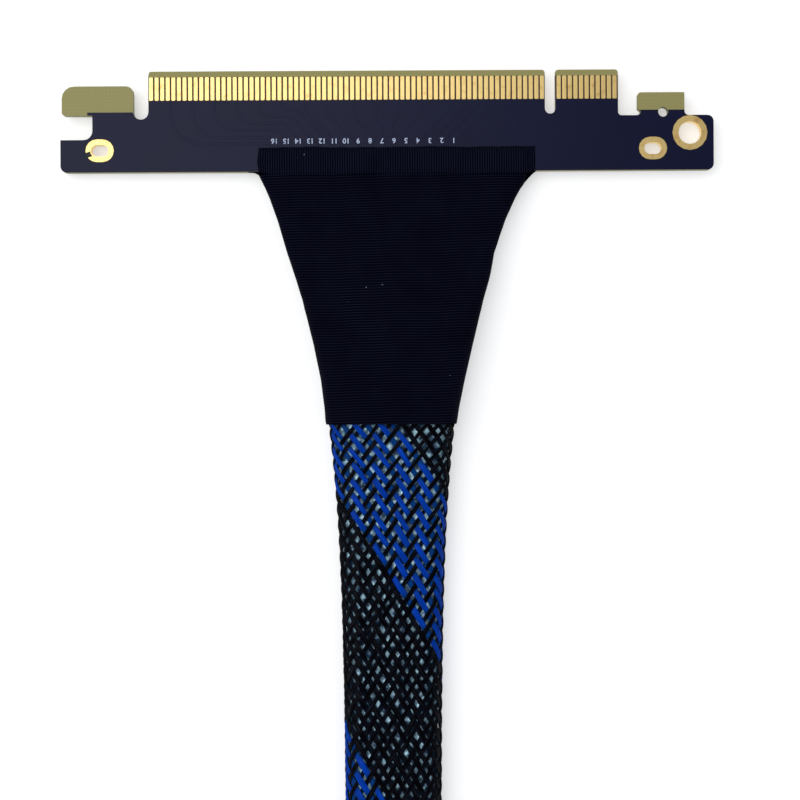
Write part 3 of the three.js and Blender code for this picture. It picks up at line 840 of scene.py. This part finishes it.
@dataclass
class TapeStrip:
    """The cloth tape laid over one face's solder joints, with its ribs across it."""

    on_board: float = 4.3
    overhang: float = 0.7
    height: float = 1.46
    tape: float = 0.3
    rib: float = 0.43
    rib_height: float = 0.035
    # How strongly the painted highlight is laid on the rib crests.
    rib_highlight_gain: float = 1.25
    # How far from its ends the strip reaches its height and its overhang
    end_slope: float = 2.4
    end_reach: float = 1.9
    # Share of the way across that the board side's slope takes
    edge_slope: float = 0.24
    columns: int = 700
    crest: int = 14

    def build(self, end: End, face: Face, finish: Material) -> Object:
        """Makes the strip as rings across it, one for each column along X.

        Each ring runs over the outside from the board edge of the tape to its cable
        edge and back underneath. The height rises as a smooth step from both ends and
        as a quarter sine from the upper edge, and a cosine along X makes the ribs.
        """
        hidden = f"{end.label}_strip_{face.label}"
        low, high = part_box(hidden)
        x = np.linspace(low[0] / MM, high[0] / MM, self.columns)
        share = np.minimum(x - x[0], x[-1] - x)
        ends = np.clip(share / self.end_slope, 0, 1)
        ends = ends * ends * (3 - 2 * ends)
        rib = 0.5 + 0.5 * np.cos(TAU * x / self.rib)
        ragged = 0.09 * wobble(x, 3 + face.value, 21.0) + 0.05 * wobble(x, 9, 5.0)
        across = np.linspace(0, 1, self.crest)
        reach = self.overhang * np.clip(share / self.end_reach, 0, 1)[:, None]
        along = -self.on_board + (self.on_board + reach) * across
        rise = np.clip(across / self.edge_slope, 0, 1)
        rise = 0.16 + 0.84 * np.sin(rise * math.pi / 2)
        top = self.height * (0.22 + 0.78 * ends[:, None]) * rise
        top = top + self.rib_height * (rib[:, None] - 0.5) * np.minimum(1, top / 0.3)
        sag = 0.05 * wobble(x, 5, 12.4)[:, None] * np.sin(math.pi * across)
        top = top - np.abs(sag)
        y = end.along(along - ragged[:, None] * (1 - across))
        outer = np.stack([np.broadcast_to(x[:, None], top.shape), y, top], axis=-1)
        inner = outer[:, ::-1].copy()
        inner[..., 2] = np.maximum(inner[..., 2] - self.tape, 0.02)
        rings = np.concatenate([outer, inner], axis=1)
        rings[..., 0] += 0.18 * wobble(rings[..., 1], 31, 6.0) * (1 - ends)[:, None]
        rings[..., 2] = surface(face) + face.value * rings[..., 2]
        # The rib attribute carries the painted highlight on the rib crests.
        painted_crown_highlight = self.rib_highlight_gain * np.repeat(rib, 2 * self.crest).reshape(-1, 2 * self.crest)
        if (end is End.EDGE) == (face is Face.FRONT):
            rings, painted_crown_highlight = rings[::-1], painted_crown_highlight[::-1]
        piece = new_object(f"{end.label}_tape_strip_{face.label}", rings, stacks(rings[None]),
                           finish, True, attributes={"rib": painted_crown_highlight})
        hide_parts(hidden)
        return piece


@dataclass
class TapeWrap:
    """The cloth tape funnel round the ribbons, from a board to the sleeve."""

    start: float = 0.71
    length: float = 44.59
    tape: float = 0.36
    mouth_half: float = 4.0
    rib: float = 0.48
    rib_height: float = 0.05
    rib_fade: float = 0.5
    swell: float = 0.1
    rows: int = 560
    inner_rows: int = 24
    corner_steps: int = 9
    side_steps: int = 18
    # Depth below the tongue's end, and how far left and right the tape reaches there
    edges: Sequence[tuple[float, float, float]] = (
        (18.8, 19.7, 67.9), (19.5, 20.05, 67.3), (20.5, 20.55, 67.25), (21.1, 20.85, 66.7),
        (23.1, 21.7, 65.6), (27.0, 23.1, 63.8), (33.0, 24.85, 61.75), (36.0, 25.85, 61.2),
        (37.4, 26.3, 60.9), (41.0, 27.4, 59.85), (49.0, 29.4, 57.9), (55.0, 30.6, 56.5),
        (60.0, 31.25, 55.45), (62.8, 31.45, 55.0), (63.4, 31.6, 54.85), (64.0, 32.4, 54.1),
    )

    def section(self, left: Array, right: Array, half: Array,
                radius: Array, inset: float) -> Array:
        """Rings of a round cornered rectangle for each row, from its sides and half height.

        Returns:
            Rows, points, and x and height, anticlockwise seen against the run of Y.
        """
        angle = np.linspace(0, math.pi / 2, self.corner_steps)
        r = np.maximum(radius - inset, 0.2)[:, None]
        high = (half - inset)[:, None]
        sides = {1: (right - inset)[:, None], -1: (left + inset)[:, None]}
        parts = []
        for i, (sx, sz) in enumerate([(1, 1), (-1, 1), (-1, -1), (1, -1)]):
            turned = angle + i * math.pi / 2
            x = sides[sx] - sx * r + r * np.cos(turned)
            z = sz * (high - r) + r * np.sin(turned)
            parts.append(np.stack([x, z], axis=-1))
            if sz == (1 if i == 0 else -1 if i == 2 else 0):
                span = np.linspace(0, 1, self.side_steps + 2)[1:-1]
                x0, x1 = sides[sx] - sx * r, sides[-sx] + sx * r
                flat = np.stack([x0 + (x1 - x0) * span, np.broadcast_to(
                    sz * high, (len(left), self.side_steps))], axis=-1)
                parts.append(flat)
        return np.concatenate(parts, axis=1)

    def build(self, end: End, finish: Material) -> Object:
        """Makes the funnel as one looped skin: out along the outside, back along the inside."""
        d = np.linspace(self.start, self.start + self.length, self.rows)
        depth = d + (ORIGIN_Y - EDGE_CABLE_Y)
        table = np.array(self.edges)
        kernel = np.hanning(17)
        kernel /= kernel.sum()
        left, right = (ORIGIN_X + np.convolve(
            np.pad(np.interp(depth, table[:, 0], table[:, k]), 8, mode="edge"), kernel, "valid")
            for k in (1, 2))
        if end is End.SOCKET:
            middle = (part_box("socket_wrap")[0][0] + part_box("socket_wrap")[1][0]) / MM
            left, right = middle - right, middle - left
        share = (d - self.start) / self.length
        half = self.mouth_half - (self.mouth_half - BOARD_MIDDLE) * (1 - share) ** 2
        radius = 1.6 + (half - 2.1) * share
        outer = self.section(left, right, half, radius, 0.0)
        x, z = outer[..., 0], outer[..., 1]
        tilt = 0.018 * (x - x.mean())
        wave = 0.1 * wobble(x, 12, 17.0)
        rib = 0.5 + 0.5 * np.cos(TAU * (d[:, None] + tilt + wave) / self.rib)
        fade = np.clip((d[:, None] - self.start) / self.rib_fade, 0, 1)
        swell = self.swell * wobble(d, 21, 11.0)[:, None] * wobble(x, 22, 15.0)
        lift = (self.rib_height * (rib - 1) * fade
                - np.abs(swell) * np.clip(share * 8, 0, 1)[:, None])
        edge = np.clip(np.abs(z) / half[:, None], 0, 1)
        out = np.sign(x - 0.5 * (left + right)[:, None]) * (1 - edge)
        back = np.linspace(self.rows - 1, 0, self.inner_rows).astype(int)
        hollow = self.section(left[back], right[back], half[back], radius[back], self.tape)
        skin = np.zeros((self.rows + self.inner_rows, x.shape[1], 3))
        skin[:self.rows, :, 0] = x + out * lift * 0.8
        skin[:self.rows, :, 2] = half[:, None] + z * (1 + lift / half[:, None])
        skin[self.rows:, :, 0] = hollow[..., 0]
        skin[self.rows:, :, 2] = half[back][:, None] + hollow[..., 1]
        skin[..., 1] = end.along(np.concatenate([d, d[back]]))[:, None]
        # The rib attribute carries the painted highlight on the rib crests; the inside gets none.
        painted_crown_highlight = np.concatenate([rib, np.zeros(hollow.shape[:2])])
        if end is End.SOCKET:
            skin, painted_crown_highlight = skin[::-1], painted_crown_highlight[::-1]
        piece = new_object(f"{end.label}_tape_wrap", skin, stacks(skin[None], True), finish,
                           True, attributes={"rib": painted_crown_highlight})
        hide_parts(f"{end.label}_wrap")
        return piece


@dataclass
class TapeWeb:
    """The fold of tape that shows on each side between a board's edge and the funnel."""

    low: float = 1.75
    high: float = 2.85
    tuck: float = 2.0
    gap: float = 0.02
    steps: int = 12
    # For the wrinkled and the smooth side: how far inside the strip's end the fold
    # meets the funnel, how far it runs along the cable and along the board, and its bow
    wrinkled: tuple[float, float, float, float] = (1.95, 2.3, 2.3, 1.25)
    smooth: tuple[float, float, float, float] = (1.05, 2.3, 2.9, 3.4)

    def build(self, end: End, side: int, finish: Material) -> Object:
        """Makes one fold: a flat plate whose free side is a power curve, straight at bow one."""
        low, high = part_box(f"{end.label}_strip_front")
        inset, depth, out, bow = self.wrinkled if side * end.value[1] < 0 else self.smooth
        edge = (high[0] if side > 0 else low[0]) / MM - side * inset
        share = np.linspace(0, 1, self.steps)
        x = edge + side * out * (1 - share)
        d = self.gap + depth * share ** bow
        tucked = edge - side * self.tuck
        ring = np.concatenate([np.stack([x, d], axis=1),
                               [[tucked, depth + self.gap], [tucked, self.gap]]])
        rings = np.zeros((2, len(ring), 3))
        rings[..., 0], rings[..., 1] = ring[:, 0], end.along(ring[:, 1])
        rings[0, :, 2], rings[1, :, 2] = self.low, self.high
        if side * end.value[1] > 0:
            rings = rings[::-1]
        name = f"{end.label}_tape_web_{'right' if side > 0 else 'left'}"
        return new_object(name, rings, stacks(rings[None]), finish,
                          attributes={"rib": np.zeros(2 * len(ring))})


# The sleeve's centreline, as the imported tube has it, in metres
SLEEVE_ROUTE = (
    (0.0006, 0.08915, 0.004), (0.0006, 0.08415, 0.004), (0.0006, 0.076, 0.0037),
    (0.0006, 0.066, 0.0034), (0.0006, 0.054, 0.00332), (0.0006, 0.042, 0.00332),
    (0.0006, 0.03, 0.00332), (0.0006, 0.018, 0.00332), (0.0006, 0.006, 0.00332),
    (0.0006, -0.006, 0.00332), (0.0006, -0.018, 0.00332), (0.0006, -0.03, 0.00332),
    (0.0006, -0.044, 0.00332), (0.0006, -0.057, 0.0034), (0.0006, -0.067, 0.0037),
    (0.0006, -0.07525, 0.004), (0.0006, -0.08025, 0.004),
)


class Strand(Enum):
    """The braid's strands: the way each turns, which of them it takes and how broad they lie."""

    BLACK_RIGHT = ("braid_black_right", 1, range(0, 24), 0.78)
    BLACK_LEFT = ("braid_black_left", -1, range(16, 30), 0.9)
    BLUE_LEFT = ("braid_blue_left", -1, range(6, 16), 1.02)


@dataclass
class BraidedSleeve:
    """The expandable braid over the foil covered ribbons, and those ribbons as one bundle."""

    half_width: float = 8.2
    half_height: float = 2.98
    mouth_half_width: float = 11.0
    mouth_half_height: float = 3.15
    flare: float = 22.0
    carriers: int = 24
    braid_angle: float = 29.5
    filament: float = 0.29
    filaments: int = 3
    lift: float = 0.15
    row: float = 0.4
    phase: float = -0.009
    jitter: float = 0.08
    spread: float = 0.13
    tighten: float = 0.2
    bundle_inset: float = 0.36
    bundle_steps: int = 72
    route: Sequence[tuple[float, float, float]] = SLEEVE_ROUTE

    def __post_init__(self) -> None:
        """Works out the sleeve's run: its rows, their heights and their sizes."""
        points = np.array(self.route) / MM
        count = int((points[0, 1] - points[-1, 1]) / self.row)
        self.y = np.linspace(points[0, 1], points[-1, 1], count)
        self.x = points[0, 0]
        self.z = np.interp(-self.y, -points[:, 1], points[:, 2])
        mouths = (points[1, 1], points[-2, 1])
        away = np.minimum(mouths[0] - self.y, self.y - mouths[1])
        open_by = np.exp(-np.maximum(away, 0) / self.flare)
        self.a = self.half_width + (self.mouth_half_width - self.half_width) * open_by
        self.b = self.half_height + (self.mouth_half_height - self.half_height) * open_by
        self.closed_by = 1 - open_by
        self.perimeter = 4 * (self.a - self.b) + TAU * self.b
        sine = math.sin(math.radians(self.braid_angle)) * self.perimeter / self.perimeter.min()
        tangent = sine / np.sqrt(1 - np.minimum(sine, 0.8) ** 2)
        self.turned = np.cumsum(TAU * tangent / self.perimeter * self.row)

    def ring(self, share: Array, row: Array, out: Array) -> Array:
        """Points on the sleeve's flat oval.

        The oval is two level sides joined by half circles. share is how far round
        the point lies, from nought to one, and out is how far it stands off.

        Returns:
            Points with x, y and z.
        """
        b = self.b[row]
        flat, arc = 2 * (self.a[row] - b), math.pi * b
        s = np.mod(share, 1.0) * 2 * (flat + arc)
        reach = b + out
        left = (s - flat) / arc * math.pi
        right = (s - 2 * flat - arc) / arc * math.pi
        parts = [s < flat, s < flat + arc, s < 2 * flat + arc]
        x = np.select(parts, [flat / 2 - s, -flat / 2 - reach * np.sin(left),
                              s - 1.5 * flat - arc], flat / 2 + reach * np.sin(right))
        z = np.select(parts, [reach, reach * np.cos(left), -reach], -reach * np.cos(right))
        return np.stack([self.x + x, self.y[row], self.z[row] + z], axis=-1)

    def build_strands(self, kind: Strand, finish: Material) -> Object:
        """Makes one kind of strand.

        A strand's share round the oval grows evenly with the angle turned. It passes
        over two strands and under two: it rises and falls as a cosine of its place
        round the oval, twelve times round, the other way from the strands it crosses.
        Across it, three half round ridges are the filaments.
        """
        name, way, numbers, breadth = kind.value
        picks = np.array(numbers)
        half = breadth * self.filaments * self.filament / 2
        steps = 2 * self.filaments
        ridge = np.abs(np.sin(np.linspace(0, math.pi * self.filaments, steps + 1)))
        top = self.filament * (0.22 + 0.42 * ridge)
        profile = np.concatenate([np.linspace(half, -half, steps + 1),
                                  [-half * 0.9, half * 0.9]])
        thick = np.concatenate([top, [-0.05, -0.05]])
        middle = way * self.turned[None, :] / TAU + picks[:, None] / self.carriers
        weave = way * np.cos(TAU * middle * self.carriers / 2 + math.pi / 4)
        stray = np.random.default_rng(17 + 2 * way).normal(0, self.jitter, (len(picks), 1))
        drift, girth = (np.array([wobble(self.y, seed + way * int(k), scale) for k in picks])
                        for seed, scale in ((40, 26.0), (90, 17.0)))
        stray = (stray + self.jitter * drift) / self.carriers
        slant = np.gradient(self.turned, self.y) * self.perimeter / TAU
        girth = (1 + self.spread * girth) * (1 + self.tighten * self.closed_by)
        girth = girth * np.sqrt(1 + slant ** 2) / self.perimeter
        share = (middle + self.phase + stray)[:, :, None] + profile * girth[:, :, None]
        out = self.lift * weave[:, :, None] + thick
        row = np.broadcast_to(np.arange(len(self.y))[None, :, None], share.shape)
        rings = self.ring(share, row, out)
        uv = np.stack([np.broadcast_to(self.y[None, :, None] + 7.3 * picks[:, None, None],
                                       share.shape),
                       np.broadcast_to(profile, share.shape)], axis=-1)
        level = np.broadcast_to(0.5 + weave[:, :, None] / 2, share.shape)
        return new_object(name, rings, stacks(rings), finish, True,
                          uv=uv.reshape(-1, 2), attributes={"level": level})

    def build_bundle(self, finish: Material) -> Object:
        """Makes the foil covered bundle: the oval drawn in, with seeded creases."""
        rng = np.random.default_rng(4)
        rows = np.arange(0, len(self.y), 2)
        around = np.linspace(0, 1, self.bundle_steps, endpoint=False)
        share = np.broadcast_to(around, (len(rows), self.bundle_steps))
        row = np.broadcast_to(rows[:, None], share.shape)
        crumple = rng.uniform(-0.16, 0.1, share.shape)
        rings = self.ring(share, row, crumple - self.bundle_inset)
        piece = new_object("foil_bundle", rings, stacks(rings[None]), finish)
        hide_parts("cable_sleeve")
        return piece


@dataclass
class SlotContacts:
    """The gold springs inside the socket's slot, a pair for each finger."""

    thickness: float = 0.09
    width: float = 0.44
    # Height over the housing's foot, and how far from the slot's middle
    bend: Sequence[tuple[float, float]] = (
        (2.5, 0.8), (4.5, 0.76), (6.6, 0.6), (7.9, 0.5), (8.9, 0.58), (9.8, 0.78),
    )

    def build(self, fingers: ContactFingers, finish: Material) -> Object:
        """Makes every spring: a flat strip carried along the bend, on both sides."""
        low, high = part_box("socket_housing")
        middle = (low[1] + high[1]) / 2 / MM
        foot = low[2] / MM
        x = ORIGIN_X + fingers.centres()
        table = np.array(self.bend)
        rings = np.zeros((2, len(x), len(table), 4, 3))
        half = self.width / 2
        corners = [(half, 0.0), (half, self.thickness), (-half, self.thickness), (-half, 0.0)]
        for i, side in enumerate((1, -1)):
            for k, (along, deep) in enumerate(corners):
                rings[i, :, :, k, 0] = x[:, None] + along
                rings[i, :, :, k, 1] = middle + side * (table[None, :, 1] + deep)
                rings[i, :, :, k, 2] = foot + table[None, :, 0]
        rings[1] = rings[1][:, ::-1]
        rings = rings.reshape(-1, len(table), 4, 3)
        return new_object("slot_contacts", rings, stacks(rings), finish)


def dress_nodes(finishes: Finishes) -> None:
    """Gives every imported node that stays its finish, by the words in its name."""
    choice = {
        "mask": finishes.mask, "ring": finishes.gold, "ribbon": finishes.foil,
        "housing": finishes.housing, "board": finishes.laminate,
    }
    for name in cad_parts:
        words = name.split("_")
        for word, material in choice.items():
            if word in words:
                piece = bpy.data.objects[name]
                piece.data.materials.clear()
                piece.data.materials.append(material)
                break


@dataclass
class Studio:
    """A pale floor, a soft lamp from the upper left and a camera that looks straight down."""

    photo_width: float = 143.24
    camera_height: float = 280.0
    sensor: float = 36.0
    camera_x: float = 2.09
    camera_y: float = 88.45
    turn: float = -0.00506
    floor_reach: float = 3.0
    glow: float = 0.45

    def camera(self) -> None:
        """Places the camera so that the board's face fills the photograph's frame."""
        data = bpy.data.cameras.new("camera")
        data.sensor_width = self.sensor
        data.lens = self.sensor * self.camera_height / self.photo_width
        data.clip_start = 0.01
        eye = add_object("camera", data)
        eye.location = (self.camera_x * MM, self.camera_y * MM,
                        (MASK_TOP + self.camera_height) * MM)
        eye.rotation_euler = (0, 0, self.turn)
        bpy.context.scene.camera = eye

    def lamp(self, name: str, place: tuple[float, float, float], size: float,
             watts: float) -> None:
        """Adds one square lamp that faces the middle of the board."""
        data = bpy.data.lights.new(name, "AREA")
        data.size = size
        data.energy = watts
        lamp = add_object(name, data)
        lamp.location = place
        aim = np.array([0.0, 0.1, 0.0]) - np.array(place)
        flat = math.hypot(aim[0], aim[1])
        lamp.rotation_euler = (math.atan2(flat, -aim[2]), 0,
                               math.atan2(aim[1], aim[0]) - math.pi / 2)

    def floor(self) -> None:
        """Adds the floor: pale, and white to the camera and to reflections."""
        material, tree = new_material("floor")
        rays = add_node(tree, "ShaderNodeLightPath").outputs
        seen = compute(tree, "MAXIMUM", rays["Is Camera Ray"], rays["Is Glossy Ray"])
        both = compute(tree, "MAXIMUM", seen, rays["Is Transmission Ray"])
        glow = compute(tree, "MULTIPLY", both, self.glow)
        pale = shader(tree, "#ECECEC", 0.9, Emission_Color=(1, 1, 1, 1), Emission_Strength=glow)
        add_node(tree, "ShaderNodeOutputMaterial", {"Surface": pale})
        mesh = bpy.data.meshes.new("floor")
        reach = self.floor_reach
        mesh.from_pydata([(-reach, -reach, 0), (reach, -reach, 0), (reach, reach, 0),
                          (-reach, reach, 0)], [], [(0, 1, 2, 3)])
        mesh.materials.append(material)
        add_object("floor", mesh)

    def world(self) -> None:
        """Sets a soft sky: white behind the object, darker overhead in reflections."""
        world = bpy.data.worlds.new("studio")
        world.use_nodes = True
        tree = world.node_tree
        tree.nodes.clear()
        path = add_node(tree, "ShaderNodeLightPath")
        place = add_node(tree, "ShaderNodeTexCoord").outputs["Generated"]
        axes = add_node(tree, "ShaderNodeSeparateXYZ", {0: place})
        ramp = add_node(tree, "ShaderNodeValToRGB", {0: axes.outputs["Z"]})
        ramp_stops(ramp, [(0.0, "#FFFFFF"), (0.6, "#C4C4C6"), (1.0, "#98989A")])
        sky = add_node(tree, "ShaderNodeBackground", {"Color": ramp.outputs[0], "Strength": 1.0})
        soft = add_node(tree, "ShaderNodeBackground", {
            "Color": linear("#F4F6FA"), "Strength": 0.55})
        light = mixed(tree, path.outputs["Is Diffuse Ray"], sky.outputs[0], soft.outputs[0])
        add_node(tree, "ShaderNodeOutputWorld", {"Surface": light})
        bpy.context.scene.world = world

    def build(self) -> None:
        """Sets the whole studio."""
        self.camera()
        self.floor()
        self.world()
        self.lamp("key", (-0.21, 0.2, 0.42), 0.45, 1.0)
        bpy.context.scene.view_settings.view_transform = "Standard"


def main() -> None:
    """Builds the studio, the cord and then every other piece."""
    logging.basicConfig(level=logging.INFO, format="%(name)s: %(message)s")
    Studio().build()
    finishes = Finishes()
    sleeve = BraidedSleeve()
    sleeve.build_bundle(finishes.foil)
    for kind in Strand:
        blue = kind is Strand.BLUE_LEFT
        sleeve.build_strands(kind, finishes.blue if blue else finishes.black)
    dress_nodes(finishes)
    fingers = ContactFingers()
    for face in Face:
        fingers.build(face, finishes.gold)
        TraceRelief().build(face, finishes.mask)
        for end in End:
            TapeStrip().build(end, face, finishes.tape)
    for end in End:
        TapeWrap().build(end, finishes.tape)
        for side in (-1, 1):
            TapeWeb().build(end, side, finishes.tape)
    LaneNumbers().build(finishes.ink)
    SlotContacts().build(fingers, finishes.gold)


if __name__ == "__main__":
    main()
